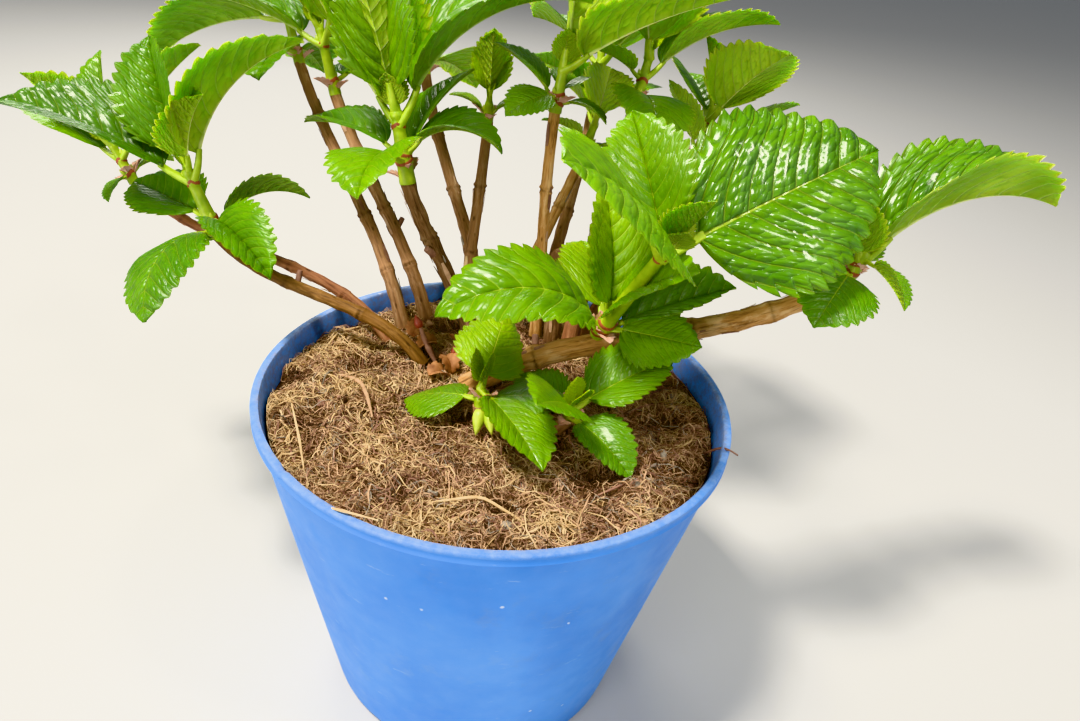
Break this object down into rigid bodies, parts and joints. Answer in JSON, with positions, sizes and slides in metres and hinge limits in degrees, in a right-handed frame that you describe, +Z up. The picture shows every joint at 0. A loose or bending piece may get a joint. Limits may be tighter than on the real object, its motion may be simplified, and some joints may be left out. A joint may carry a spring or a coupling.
{
  "type": "potted hydrangea shrub",
  "caption": "Young leafy hydrangea shrub with woody canes and broad serrated leaves, in a round tapered plastic pot filled with compost.",
  "frame": {"origin": "middle of the pot's flat underside", "axes": "+Z up the pot's axis, +X to the right in the picture, +Y away from the camera"},
  "size_m": [0.5425, 0.3924, 0.3995],
  "materials": {
    "pot": "moulded blue polypropylene, satin, sun-faded and scuffed",
    "compost": "dry fibrous compost, tan and brown strands with dark gaps",
    "bark": "tan to dark brown bark, peeling in thin strips, scarred at the nodes",
    "leaf": "glossy mid to yellow green leaves, quilted between pinnate veins, paler below"
  },
  "bodies": {
    "root": {"pot": "pot", "compost": "compost", "cane_left": "bark", "cane_left_back": "bark", "cane_mid_left": "bark", "cane_mid_back": "bark", "cane_tall_left": "bark", "cane_young": "bark", "cane_tall_back": "bark", "cane_mid_right": "bark", "cane_right_back": "bark", "cane_right": "bark", "cane_front": "bark", "cane_front_right": "bark", "cane_back_left": "bark", "cane_back_right": "bark", "cane_back_mid": "bark", "cane_stub": "bark", "shoot_left": "leaf", "shoot_left_back": "leaf", "shoot_mid_left": "leaf", "shoot_mid_back": "leaf", "shoot_tall_left": "leaf", "shoot_young": "leaf", "shoot_tall_back": "leaf", "shoot_mid_right": "leaf", "shoot_right_back": "leaf", "shoot_right_end": "leaf", "shoot_near": "leaf", "shoot_front": "leaf", "shoot_front_right": "leaf", "shoot_back_left": "leaf", "shoot_back_right": "leaf", "shoot_back_mid": "leaf"}
  },
  "joints": []
}
